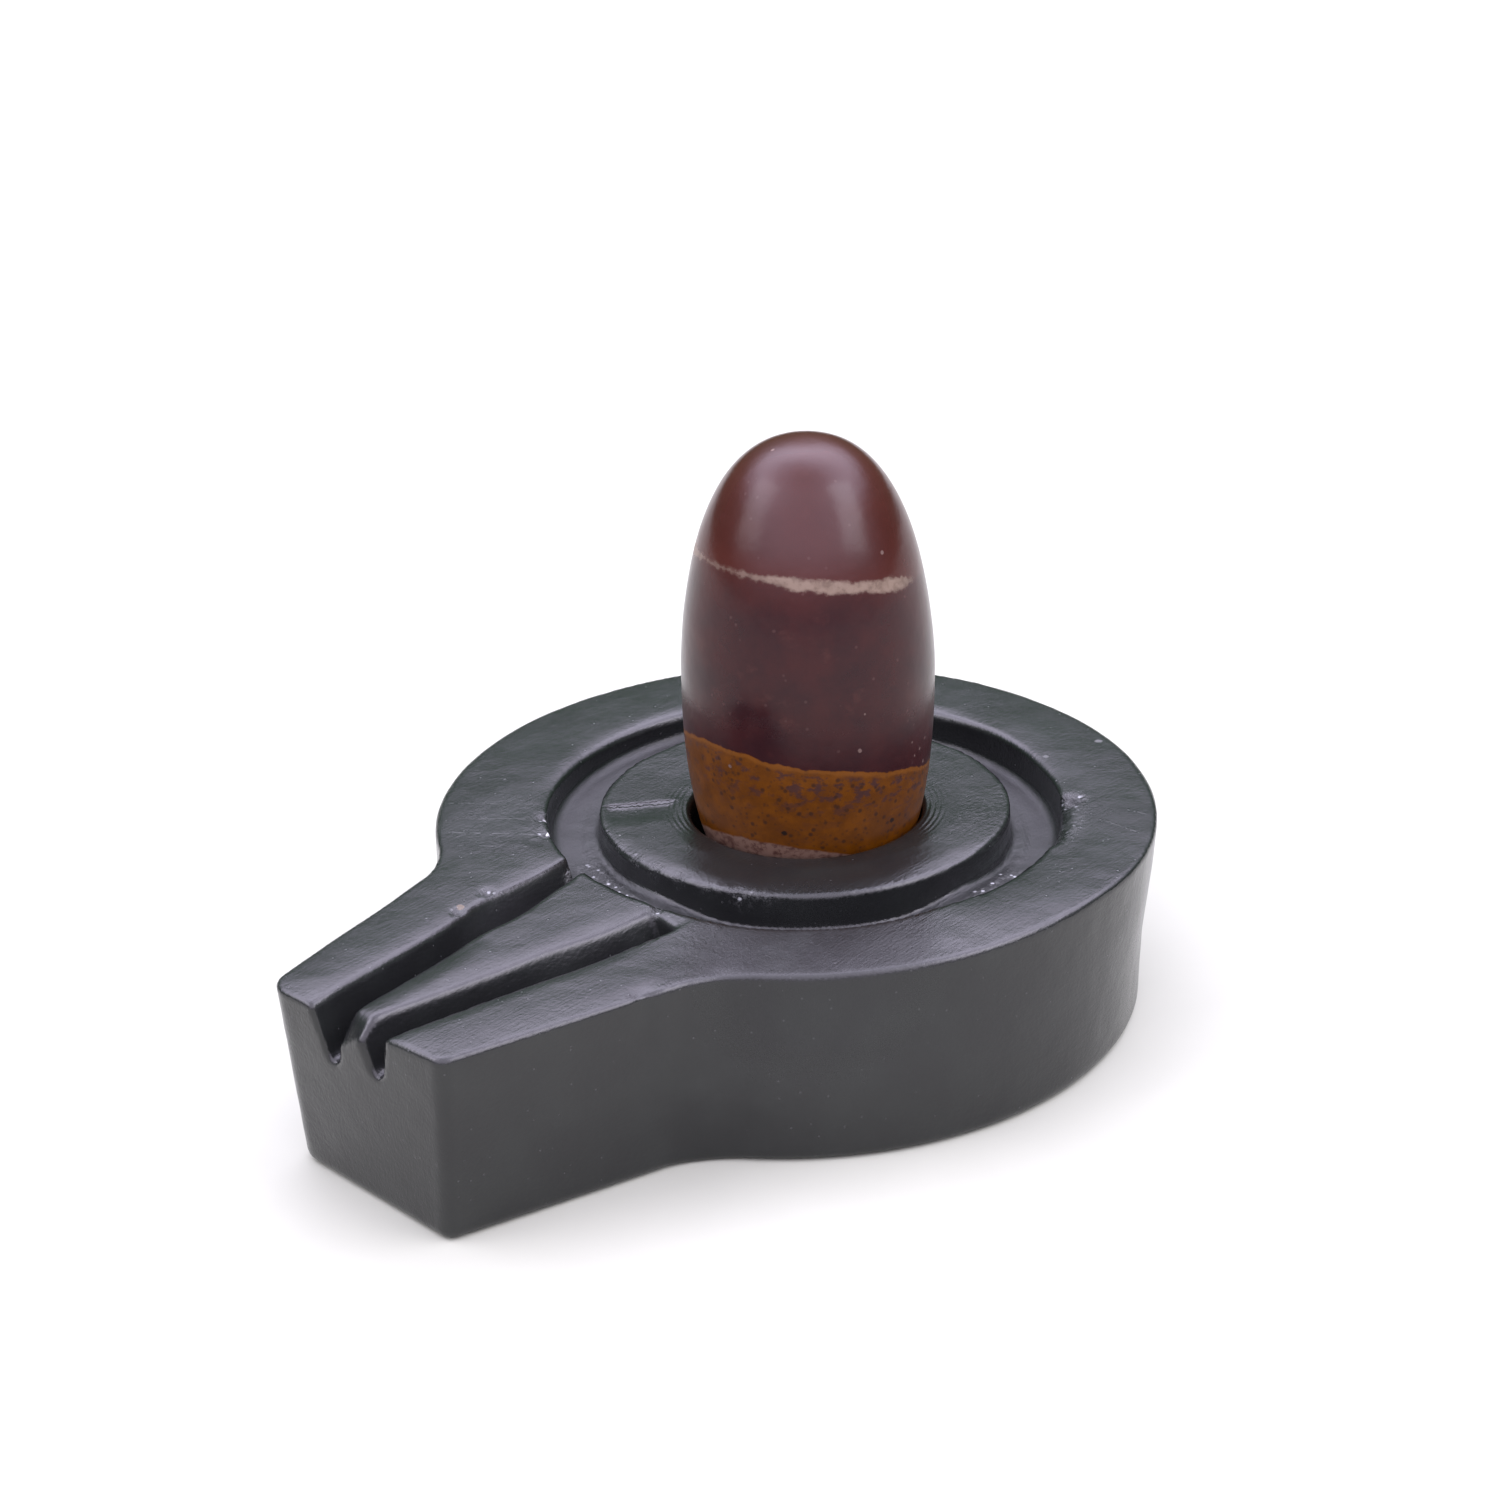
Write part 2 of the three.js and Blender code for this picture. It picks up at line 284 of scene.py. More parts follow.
def spout_fall(p, edge):
    """How far the spout's top falls to its edge, along the grooves and to the tongue's tip."""
    out = -p[:, 0]
    on_spout = 1 - smooth(p[:, 0], *SPOUT_ROOT_X)
    fall = SPOUT_EDGE_FALL * smooth(edge, -SPOUT_EDGE_WIDTH, 0.6) ** 2 * on_spout
    for start, end, _, width, *_ in (FAR_GROOVE, NEAR_GROOVE):
        far_off = wall(p[:, 0], p[:, 1], end, start) - 0.5 * width
        slope = edge_slope(far_off, GROOVE_BEVEL) * (far_off > -width)
        fall = fall + GROOVE_BEVEL_DEPTH * slope**2 * smooth(out, *GROOVE_BEVEL_FROM)
    slope = near_side_slope(p, FAR_GROOVE, TONGUE_SLOPE)
    fall = fall + TONGUE_SLOPE_DEPTH * slope**1.4 * smooth(out, *TONGUE_SLOPE_FROM)
    fall = fall + TONGUE_BREAK * np.clip(slope, 0, 1) ** 0.7 * smooth(out, *TONGUE_BREAK_FROM)
    slope = near_side_slope(p, NEAR_GROOVE, NEAR_SLOPE)
    fall = fall + NEAR_SLOPE_DEPTH * slope**1.6 * smooth(out, *NEAR_SLOPE_FROM)
    tip = np.clip((TONGUE_TIP_X - p[:, 0]) / TONGUE_TIP_LENGTH, 0, 1.3)
    return fall + TONGUE_TIP_FALL * tip**2 * bump(p[:, 1], TONGUE_TIP_Y, TONGUE_TIP_WIDTH)


def top_face(p, edge):
    """The top: nearly level, with the slopes that grinding and wear left."""
    return p[:, 2] - BASE_HEIGHT + ring_fall(p) + disc_fall(p) + spout_fall(p, edge)


def channel(p):
    """The ring channel: steep walls, a bowl at the foot of the outer one and a broken ledge."""
    ring, angle, facing = round_ring(p)
    depth = BASE_HEIGHT - p[:, 2]
    full_depth = CHANNEL_DEPTH
    for low, high, soft, deeper in CHANNEL_DEPTHS:
        full_depth = full_depth + deeper * between(angle, low, high, soft)
    ledge = LEDGE_WIDTH * between(angle, *LEDGE_ANGLES, 3) * edge_slope(depth, LEDGE_DEPTH)
    wider = CHANNEL_FRONT_WIDER * between(angle, *WIDER_ANGLES, 30)
    outer = ring - CHANNEL_RADIUS + CHANNEL_WALL_SLOPE * depth - wider - ledge
    inner = disc_edge(facing) + DISC_WALL_SLOPE * depth - ring
    floor = depth - full_depth
    cut = both(outer, floor, CHANNEL_OUTER_BOWL)
    return np.maximum(cut, both(inner, floor, CHANNEL_INNER_BOWL)), ring


def groove(p, start, end, start_width, width, start_depth, end_depth, bulge):
    """A groove that grows deeper to the end face."""
    dx, dy = end[0] - start[0], end[1] - start[1]
    length = math.hypot(dx, dy)
    along = ((p[:, 0] - start[0]) * dx + (p[:, 1] - start[1]) * dy) / length
    across = ((p[:, 1] - start[1]) * dx - (p[:, 0] - start[0]) * dy) / length
    full_depth = start_depth + (end_depth - start_depth) * np.clip(along / length, 0, 1)
    depth = BASE_HEIGHT - p[:, 2]
    across_here = start_width + (width - start_width) * smooth(along, 0, 6)
    half = 0.5 * (across_here + bulge * bump(along, WIDER_PLACE, WIDER_LENGTH))
    slope = (1 - GROOVE_FLOOR_SHARE) * half / full_depth
    side = (np.abs(across) - half + slope * depth) / np.hypot(1, slope)
    cut = both(side, depth - full_depth, GROOVE_FLOOR_ROUND)
    return both(cut, -along, GROOVE_START_ROUND)


def socket(p):
    """The hole for the stone, and the shallow dish round its mouth."""
    depth = BASE_HEIGHT - p[:, 2]
    narrowing = SOCKET_SLOPE * np.minimum(depth, SOCKET_SLOPE_DEPTH)
    past_rim = np.hypot(p[:, 0] - SOCKET_CENTRE[0], p[:, 1] - SOCKET_CENTRE[1]) - SOCKET_RADIUS
    hole = both(past_rim + narrowing, SEAT_Z - p[:, 2], SOCKET_FLOOR_ROUND)
    dish_depth = SOCKET_DISH_DEPTH * (1 - past_rim / SOCKET_DISH)
    dish = (depth - DISC_DROP_FRONT - dish_depth) * DISH_SLANT
    return hole, np.maximum(dish, past_rim - SOCKET_DISH)


def base_shape(p):
    """The whole base before its handwork and wear."""
    edge = outline(p)
    front = smooth(forward_of(p), -12, 16)
    edge_round = EDGE_ROUND_BACK + (EDGE_ROUND_FRONT - EDGE_ROUND_BACK) * front
    solid = both(edge, top_face(p, edge), edge_round)
    solid = both(solid, -p[:, 2], FOOT_EDGE_ROUND)
    cut, ring = channel(p)
    outer_lip = CHANNEL_EDGE_ROUND + (CHANNEL_EDGE_FRONT - CHANNEL_EDGE_ROUND) * front
    lip = np.where(ring < 19, DISC_EDGE_ROUND, outer_lip)
    solid = both(solid, -cut, lip)
    hole, dish = socket(p)
    solid = both(solid, -dish, DISH_ROUND)
    solid = both(solid, -hole, SOCKET_LIP)
    for sizes in (FAR_GROOVE, NEAR_GROOVE):
        solid = both(solid, -groove(p, *sizes), GROOVE_ROUND)
    return solid


def gradient(shape, p, step=0.02):
    """The shape's gradient, from four samples round each point."""
    total = np.zeros_like(p)
    for corner in ((1, 1, 1), (1, -1, -1), (-1, 1, -1), (-1, -1, 1)):
        arm = np.array(corner, float)
        total += shape(p + step * arm)[:, None] * arm
    return total / (4 * step)


# ---- Handwork and wear on the base ----

# x, y, z, radius and depth of each chip, in millimetres
CHIPS = (
    (15.2, -17.2, 16.6, 0.8, 0.6),
    (-15.7, 14.1, 16.6, 0.6, 0.35),
    (-17.7, 11.7, 16.6, 0.55, 0.35),
    (-14.6, 8.6, 16.5, 0.5, 0.2),
    (-15.6, 6.0, 16.5, 0.5, 0.2),
    (-16.0, 3.1, 16.5, 0.45, 0.2),
    (-16.3, 0.6, 16.5, 0.45, 0.25),
    (-16.3, -1.9, 16.5, 0.5, 0.25),
    (-16.2, -5.0, 16.5, 0.5, 0.3),
    (-15.2, -7.6, 16.5, 0.8, 0.35),
    (-13.9, -9.6, 16.5, 0.5, 0.25),
    (-27.9, 7.8, 16.5, 0.45, 0.5),
    (-31.6, 7.25, 16.5, 0.4, 0.5),
    (-21.4, -4.6, 16.5, 0.5, 0.3),
)
# x, y, width and depth of the soft dents down the near wall
WALL_DENTS = ((-31.4, -13.2, 0.9, 0.22), (-26.0, -15.9, 1.3, 0.2))
DENT_HEIGHTS = (5, 13)
# a broad, shallow hollow low on the round wall: its middle, half its width and its depth
HOLLOW_SIDE, HOLLOW_REACH, HOLLOW_Z, HOLLOW_HEIGHT, HOLLOW_DEPTH = -46.7, 40, 6.0, 5, 0.25
# a shallow cut left on the disc: its sharp edge, its depth, where it runs out, and its part of
# the disc, by distance from the ring's centre and by angle
FACET_LINE, FACET_LINE_WIDTH, FACET_DEPTH = ((-11.2, 12.2), (-5.8, 8.0)), 0.22, 0.22
FACET_FADE = (0.5, 4.5)
FACET_RING, FACET_ANGLES = ((10.5, 11.5), (16.2, 16.8)), (108, 170)
# the chisel marks on the disc's wall, by distance from the ring's centre and by depth
TOOLED_RING, TOOLED_DEPTHS = ((16.7, 17.0), (18.2, 18.8)), (0.4, 0.7)
# the turned rings, by distance from the socket's centre, by angle and by depth
TURNED_REACH, TURNED_ANGLES, TURNED_DEPTH = (11.2, 12.2), ((105, 165), (-90, -25)), 2.7
SUNK_DEPTHS = (1.0, 1.6)  # deeper than this the surface is in the channel, a groove or the socket
# rough places: the angles and how softly they end, from and to which distance from the ring's
# centre, the least depth under the top, and how rough from 0 to 1
GRIT_ZONES = (
    ((146, 180, 10), (17.4, 18.0), (21.4, 22.2), 1.0, 1.0),  # in the channel, at the left
    ((-96, -66, 10), (17.4, 18.0), (21.4, 22.2), 1.0, 1.0),  # in the channel, at the right
    ((-85, -30, 20), (12, 13.5), (16.8, 17.2), -1.0, 0.15),  # the disc's right side
    ((-73, -40, 8), (21.0, 21.6), (22.6, 24), -1.0, 0.3),  # beside the broken ledge
    ((118, 165, 15), (21.6, 23), (28, 30), -1.0, 0.08),  # the ring's left side
)
CHIP_GRIT, CHIP_GRIT_REACH, FACET_GRIT = 0.9, 1.3, 0.12
GRIT_LOWEST = 10  # the outer walls lower down have none
# the surface's unevenness: size across, height, number of the random draw, octaves
WAVES = ((7.0, 0.045, 3, 2), (1.6, 0.012, 5, 1))
GRIT_SIZE, GRIT_HEIGHT, GRIT_DRAW = 0.8, 0.05, 9


def tool_marks(p):
    """Where the chisel left rough lines: on the disc's wall at the front, from 0 to 1."""
    ring, _, facing = round_ring(p)
    on_wall = within(ring, *TOOLED_RING) * smooth(BASE_HEIGHT - p[:, 2], *TOOLED_DEPTHS)
    return on_wall * smooth(facing, -0.3, 0.2)


def turned_rings(p):
    """Where the turned rings round the socket show, from 0 to 1."""
    x, y = p[:, 0] - SOCKET_CENTRE[0], p[:, 1] - SOCKET_CENTRE[1]
    angle = np.degrees(np.arctan2(y, x))
    on_dish = (1 - smooth(np.hypot(x, y), *TURNED_REACH)) * (p[:, 2] > BASE_HEIGHT - TURNED_DEPTH)
    return on_dish * sum(between(angle, low, high, 20) for low, high in TURNED_ANGLES)


def sunk_of(p):
    """Where the surface lies well below the top, but not on the outer wall, from 0 to 1."""
    return smooth(BASE_HEIGHT - p[:, 2], *SUNK_DEPTHS) * (outline(p) < -2)


def cut_facet(p):
    """A shallow cut left on the disc's left side, sharp along one edge."""
    inward = -wall(p[:, 0], p[:, 1], *FACET_LINE)
    ring, angle, _ = round_ring(p)
    inside = within(inward, (-0.1, 0.2), FACET_FADE)
    return inside * within(ring, *FACET_RING) * between(angle, *FACET_ANGLES, 6)


def chips(p):
    moved = np.zeros(len(p))
    for x, y, z, radius, depth in CHIPS:
        off = np.linalg.norm((p - (x, y, z)) * (1, 1, 0.8), axis=1)
        moved -= depth * bump(off, 0, radius)
    return moved


def wall_dents(p):
    moved = np.zeros(len(p))
    for x, y, width, depth in WALL_DENTS:
        off = np.hypot(p[:, 0] - x, p[:, 1] - y)
        moved -= depth * bump(off, 0, width) * smooth(p[:, 2], *DENT_HEIGHTS)
    side = np.degrees(np.arctan2(p[:, 1], p[:, 0]))
    hollow = between(side, HOLLOW_SIDE - HOLLOW_REACH, HOLLOW_SIDE + HOLLOW_REACH, 30)
    hollow = hollow * bump(p[:, 2], HOLLOW_Z, HOLLOW_HEIGHT)
    return moved - HOLLOW_DEPTH * hollow * (np.hypot(p[:, 0], p[:, 1]) > BODY_RADIUS - 3)


def grit_of(p):
    """Where the surface is left rough and gritty, from 0 to 1."""
    ring, angle, _ = round_ring(p)
    depth = BASE_HEIGHT - p[:, 2]
    grit = FACET_GRIT * cut_facet(p)
    for angles, start, end, least_depth, share in GRIT_ZONES:
        here = between(angle, *angles) * within(ring, start, end)
        grit = grit + share * here * (depth > least_depth)
    for x, y, z, radius, _ in CHIPS:
        off = np.linalg.norm(p - (x, y, z), axis=1)
        grit = grit + CHIP_GRIT * bump(off, 0, radius * CHIP_GRIT_REACH)
    return np.clip(grit, 0, 1) * (p[:, 2] > GRIT_LOWEST)


def work_surface(points):
    """Moves the points along their normals by the handwork, wear and unevenness."""
    normal = gradient(base_shape, points)
    normal = normal / np.maximum(np.linalg.norm(normal, axis=1), 1e-6)[:, None]
    moved = chips(points) + wall_dents(points) - FACET_DEPTH * cut_facet(points)
    for size, height, draw, octaves in WAVES:
        moved = moved + height * noise(points, size, draw, octaves)
    moved = moved + GRIT_HEIGHT * grit_of(points) * noise(points, GRIT_SIZE, GRIT_DRAW)
    moved = moved * smooth(points[:, 2], 0.1, 1.2)
    return points + normal * moved[:, None]


ATTRIBUTES = {"grit": grit_of, "tooled": tool_marks, "turned": turned_rings, "sunk": sunk_of}


# ---- Meshes ----

def edges_of(mesh):
    pairs = np.empty(len(mesh.edges) * 2, np.int32)
    mesh.edges.foreach_get("vertices", pairs)
    return pairs.reshape(-1, 2)


def neighbour_mean(points, edges):
    """The mean of each point's neighbours along the edges."""
    count = np.bincount(edges.ravel(), minlength=len(points))
    total = np.empty_like(points)
    for axis in range(3):
        one = np.bincount(edges[:, 0], points[edges[:, 1], axis], len(points))
        two = np.bincount(edges[:, 1], points[edges[:, 0], axis], len(points))
        total[:, axis] = one + two
    return total / count[:, None]


def settle(points, shape, rounds=1, longest=0.3):
    """Moves each point onto the surface, a short step at a time."""
    for _ in range(rounds):
        slope = gradient(shape, points)
        steep = np.maximum((slope**2).sum(1), 0.05)
        step = slope * (-shape(points) / steep)[:, None]
        size = np.linalg.norm(step, axis=1)
        points = points + step * np.minimum(1, longest / np.maximum(size, 1e-9))[:, None]
    return points


def sample_grid(shape, low, high, step):
    """The shape's values on a grid; far from its surface only every third point is worked out."""
    counts = [3 * math.ceil((b - a) / step / 3) for a, b in zip(low, high)]
    axes = [a + step * np.arange(count) for a, count in zip(low, counts)]
    middles = np.stack(np.meshgrid(*(axis[1::3] for axis in axes), indexing="ij"), -1)
    value = shape(middles.reshape(-1, 3)).reshape(middles.shape[:3])
    value = value.repeat(3, 0).repeat(3, 1).repeat(3, 2)
    near = np.nonzero(np.abs(value) < 3.2 * step)
    value[near] = shape(np.stack([axis[i] for axis, i in zip(axes, near)], 1))
    return value


def points_in_cells(value, crossed):
    """One point in each cell that the surface crosses: the mean of where it cuts the cell's edges."""
    cells = np.nonzero(crossed)
    total, count = np.zeros((len(cells[0]), 3)), np.zeros(len(cells[0]))
    for axis in range(3):
        for side in ((0, 0), (1, 0), (0, 1), (1, 1)):
            start = np.insert(side, axis, 0)
            end = np.insert(side, axis, 1)
            one = value[tuple(c + s for c, s in zip(cells, start))]
            two = value[tuple(c + s for c, s in zip(cells, end))]
            cut = (one < 0) != (two < 0)
            share = one / np.where(cut, one - two, 1)
            total += np.where(cut, 1, 0)[:, None] * (start + share[:, None] * (end - start))
            count += cut
    return np.stack(cells, 1) + total / count[:, None]


def surface_net(shape, low, high, step):
    """Points and four-sided faces on the shape's surface, from a grid of its values."""
    value = sample_grid(shape, low, high, step)
    inside = value < 0
    corners = np.lib.stride_tricks.sliding_window_view(inside, (2, 2, 2))
    crossed = corners.any((3, 4, 5)) & ~corners.all((3, 4, 5))
    points = np.array(low) + step * points_in_cells(value, crossed)
    number = np.full(crossed.shape, -1)
    number[crossed] = np.arange(len(points))
    faces = []
    for axis in range(3):
        first, second = (axis + 1) % 3, (axis + 2) % 3
        here = [slice(1, -1)] * 3
        here[axis] = slice(0, -1)
        start = inside[tuple(here)]
        here[axis] = slice(1, None)
        cell = np.stack(np.nonzero(start != inside[tuple(here)]))
        square = []
        for one, two in ((0, 0), (1, 0), (1, 1), (0, 1)):
            corner = cell.copy()
            corner[first] += one
            corner[second] += two
            square.append(number[tuple(corner)])
        square = np.stack(square, 1)
        turned = ~start[tuple(cell)]
        square[turned] = square[turned][:, ::-1]
        faces.append(square)
    return points, np.concatenate(faces)


def add_object(name, points, faces):
    """An object with a mesh of its own, from points in millimetres."""
    mesh = bpy.data.meshes.new(name)
    mesh.from_pydata(np.array(points) * MM, [], faces)
    made = bpy.data.objects.new(name, mesh)
    bpy.context.scene.collection.objects.link(made)
    return made


def thin_underside(mesh):
    """Joins the faces of the flat underside, which needs few."""
    work = bmesh.new()
    work.from_mesh(mesh)
    flat = [v for v in work.verts if v.co.z < 0.02 * MM]
    chosen = set(flat)
    edges = [e for e in work.edges if chosen.issuperset(e.verts)]
    bmesh.ops.dissolve_limit(work, angle_limit=0.03, verts=flat, edges=edges)
    large = [f for f in work.faces if len(f.verts) > 4]
    bmesh.ops.triangulate(work, faces=large)
    work.to_mesh(mesh)
    work.free()


def make_base():
    """The base as one mesh, with its attributes."""
    points, faces = surface_net(base_shape, *BASE_SPACE, BASE_STEP)
    base = add_object("carved_base", points, faces.tolist())
    mesh = base.data
    edges = edges_of(mesh)
    for _ in range(3):
        points = settle(points, base_shape)
        points = 0.5 * (points + neighbour_mean(points, edges))
    points = settle(points, base_shape, rounds=2)
    for name, share in ATTRIBUTES.items():
        mesh.attributes.new(name, "FLOAT", "POINT").data.foreach_set("value", share(points))
    mesh.vertices.foreach_set("co", (work_surface(points) * MM).ravel())
    mesh.update()
    thin_underside(mesh)
    mesh.shade_smooth()
    return base


def stone_radius(z):
    """The stone's radius at each height, from two curves that meet at the waist."""
    upper = z >= STONE_WAIST_Z
    length, bulge, bluntness = (np.where(upper, t, b) for t, b in zip(STONE_TOP, STONE_BOTTOM))
    share = np.abs(z - STONE_WAIST_Z) / length
    return STONE_RADIUS * np.maximum(0, 1 - share**bulge) ** (1 / bluntness)


def make_stone():
    """The stone as rings of points from its foot to its crown."""
    crown = STONE_WAIST_Z + STONE_TOP[0]
    sweep = np.linspace(0, math.pi, STONE_ROWS + 1)[1:-1]
    z = STONE_FOOT_Z + (crown - STONE_FOOT_Z) * 0.5 * (1 - np.cos(sweep))
    z = np.concatenate([[STONE_FOOT_Z + 0.02], z])
    turn = np.linspace(0, 2 * math.pi, STONE_COLUMNS, endpoint=False)
    radius = stone_radius(z)
    rings = np.stack([np.outer(radius, np.cos(turn)), np.outer(radius, np.sin(turn))], -1)
    heights = np.broadcast_to(z[:, None, None], rings.shape[:2] + (1,))
    points = np.concatenate([rings, heights], -1).reshape(-1, 3)
    points = np.vstack([points, [[0, 0, STONE_FOOT_Z], [0, 0, crown]]])
    number = np.arange(len(z) * STONE_COLUMNS).reshape(-1, STONE_COLUMNS)
    following = np.roll(number, -1, axis=1)
    sides = np.stack([number[:-1], following[:-1], following[1:], number[1:]], -1)
    faces = sides.reshape(-1, 4).tolist()
    foot, top = number.size, number.size + 1
    faces += [(foot, b, a) for a, b in zip(number[0].tolist(), following[0].tolist())]
    faces += [(top, a, b) for a, b in zip(number[-1].tolist(), following[-1].tolist())]
    stone = add_object("lingam", weather(points) + (*STONE_CENTRE, 0.0), faces)
    stone.data.shade_smooth()
    return stone


def weather(points):
    """Leans the stone, slopes its crown and makes it a little uneven."""
    outward = points - (0, 0, STONE_WAIST_Z)
    outward = outward / np.linalg.norm(outward, axis=1)[:, None]
    size, height, draw, octaves = STONE_WAVES
    points = points + height * noise(points, size, draw, octaves)[:, None] * outward
    peak = CROWN_PEAK * bump(np.hypot(points[:, 0], points[:, 1]), 0, CROWN_PEAK_WIDTH)
    raised = peak - CROWN_DROP - CROWN_TILT * forward_of(points)
    points[:, 2] += raised * smooth(points[:, 2], *CROWN_HEIGHTS)
    points[:, 0] += STONE_LEAN[0] * (points[:, 2] - SEAT_Z)
    points[:, 1] += STONE_LEAN[1] * (points[:, 2] - SEAT_Z)
    return points


# ---- Tools for materials ----

class Nodes:
    """Short ways to add nodes to a node tree."""

    def __init__(self, tree):
        self.tree = tree

    def add(self, kind, **settings):
        node = self.tree.nodes.new("ShaderNode" + kind)
        for name, value in settings.items():
            setattr(node, name, value)
        return node

    def put(self, socket, value):
        """Links the value where it comes from a node, and sets it where it is a plain value."""
        if isinstance(value, bpy.types.NodeSocket):
            self.tree.links.new(value, socket)
        elif isinstance(value, tuple) and len(socket.default_value) == 4:
            socket.default_value = (*value, 1)
        else:
            socket.default_value = value

    def math(self, operation, *values):
        node = self.add("Math", operation=operation)
        for socket, value in zip(node.inputs, values):
            self.put(socket, value)
        return node.outputs[0]

    def chain(self, operation, values):
        """Joins the values two at a time by the operation."""
        total, *others = values
        for value in others:
            total = self.math(operation, total, value)
        return total

    def times(self, *values):
        return self.chain("MULTIPLY", values)

    def plus(self, *values):
        return self.chain("ADD", values)

    def minus(self, *values):
        return self.chain("SUBTRACT", values)

    def largest(self, *values):
        return self.chain("MAXIMUM", values)

    def vector(self, operation, *values):
        node = self.add("VectorMath", operation=operation)
        for socket, value in zip(node.inputs, values):
            self.put(socket, value)
        return node.outputs["Value"] if operation in ("DISTANCE", "DOT_PRODUCT") else node.outputs[0]

    def split(self, place):
        node = self.add("SeparateXYZ")
        self.put(node.inputs[0], place)
        return node.outputs

    def step(self, value, low, high):
        """0 below low, 1 above high and smooth between, or the other way round where low > high."""
        node = self.add("MapRange", interpolation_type="SMOOTHSTEP")
        self.put(node.inputs[0], value)
        node.inputs[1].default_value = low
        node.inputs[2].default_value = high
        return node.outputs[0]

    def mix(self, share, first, second):
        node = self.add("Mix", data_type="RGBA")
        self.put(node.inputs[0], share)
        self.put(node.inputs[6], first)
        self.put(node.inputs[7], second)
        return node.outputs[2]

    def ramp(self, value, stops):
        """A colour ramp with these stops, each a position and a colour."""
        node = self.add("ValToRGB")
        self.put(node.inputs[0], value)
        elements = node.color_ramp.elements
        while len(elements) < len(stops):
            elements.new(1.0)
        for element, (position, colour) in zip(elements, stops):
            element.position = position
            element.color = (*colour, 1)
        return node.outputs[0]


class Painter(Nodes):
    """One procedural material and the patterns in it. Places are in millimetres."""

    def __init__(self, name):
        self.material = bpy.data.materials.new(name)
        self.material.use_nodes = True
        super().__init__(self.material.node_tree)
        self.shader = self.tree.nodes["Principled BSDF"]
        coordinates = self.add("TexCoord")
        self.place = self.vector("MULTIPLY", coordinates.outputs["Object"], (1 / MM, 1 / MM, 1 / MM))
        self.x, self.y, self.z = self.split(self.place)
        self.upward = self.split(coordinates.outputs["Normal"])[2]

    def noise(self, size, detail=3.0, roughness=0.5, place=None, distortion=0.0):
        """Values round 0.5, with features about size across."""
        node = self.add("TexNoise")
        self.put(node.inputs["Vector"], self.place if place is None else place)
        node.inputs["Scale"].default_value = 1 / size
        node.inputs["Detail"].default_value = detail
        node.inputs["Roughness"].default_value = roughness
        node.inputs["Distortion"].default_value = distortion
        return node.outputs["Fac"]

    def wobble(self, size, reach, detail=2.0):
        """A smooth random length from about -reach to reach."""
        return self.times(self.minus(self.noise(size, detail), 0.5), 3.0 * reach)

    def dots(self, size, low, high, share):
        """Separate small dots: 1 in a dot, 0 outside. share is how many of the cells have one."""
        node = self.add("TexVoronoi")
        self.put(node.inputs["Vector"], self.place)
        node.inputs["Scale"].default_value = 1 / size
        near = self.step(node.outputs["Distance"], high, low)
        pick = self.add("SeparateColor")
        self.put(pick.inputs[0], node.outputs["Color"])
        return self.times(near, self.math("LESS_THAN", pick.outputs[0], share))

    def stretched(self, *scale):
        return self.vector("MULTIPLY", self.place, scale)

    def spot(self, centre, radius):
        """1 in a spot with a ragged edge, 0 outside."""
        off = self.vector("DISTANCE", self.place, centre)
        return self.step(self.plus(off, self.wobble(0.25, 0.25 * radius)), radius, 0.6 * radius)

    def line(self, start, end, width):
        """1 along a straight line on the top, seen from above, 0 beside it."""
        start, end = Vector((*start, 0.0)), Vector((*end, 0.0))
        along = (end - start).normalized()
        across = Vector((-along.y, along.x, 0.0))
        off = self.vector("SUBTRACT", self.place, (start + end) / 2)
        aside, ahead = (
            self.math("ABSOLUTE", self.vector("DOT_PRODUCT", off, way)) for way in (across, along)
        )
        beside = self.step(self.plus(aside, self.wobble(0.8, 0.5 * width)), width, 0.4 * width)
        length = (end - start).length
        return self.times(beside, self.step(ahead, length / 2, length / 3))

    def bumps(self, *layers):
        """Each layer is a height from 0 to 1 and its real size in millimetres."""
        normal = None
        for height, size in layers:
            node = self.add("Bump")
            node.inputs["Distance"].default_value = size * MM
            self.put(node.inputs["Height"], height)
            if normal is not None:
                self.put(node.inputs["Normal"], normal)
            normal = node.outputs["Normal"]
        self.put(self.shader.inputs["Normal"], normal)


# ---- The black stone's look ----

BLACK_STONE, BLACK_STONE_PALE = (0.0068, 0.0074, 0.0072), (0.0100, 0.0115, 0.0105)
PALE_GRAIN, CHISELLED = (0.018, 0.018, 0.019), (0.030, 0.036, 0.032)
# the last colour here is a painted highlight: bright dots that stand in for light glinting off the grit
STONE_DUST, SPECK, PAINTED_GLINT = (0.09, 0.093, 0.091), (0.085, 0.087, 0.086), (0.35, 0.36, 0.37)
WHITE, ORANGE = (0.5, 0.5, 0.5), (0.075, 0.055, 0.035)
BLACK_STONE_IOR, BLACK_STONE_POLISH = 1.5, 0.13  # the polish is the roughness at its smoothest
# pale specks on the base: place, radius and how pale from 0 to 1
BASE_SPECKS = (
    ((26.0, -11.9, 16.5), 0.4, 0.9),
    ((20.5, -10.4, 16.6), 0.28, 0.8),
    ((-12.1, -6.0, 16.4), 0.24, 0.7),
    ((-7.1, -12.0, 16.4), 0.2, 0.8),
    ((-10.3, -2.7, 16.4), 0.22, 0.8),
    ((-3.0, -11.9, 16.4), 0.22, 0.6),
    ((-17.3, -0.4, 15.0), 0.22, 0.8),
    ((-12.5, 22.1, 16.5), 0.2, 0.5),
)
# white flakes in the chips, an orange speck and a duller patch: place and radius
WHITE_FLAKES = (((-15.5, 13.9, 16.5), 0.38), ((-17.3, 11.7, 16.5), 0.32), ((-13.9, 6.9, 16.4), 0.28))
ORANGE_SPECK = ((-30.9, 7.6, 16.6), 0.4)
WORN_PATCH = ((-18.3, -18.1, 16.5), 11.0)
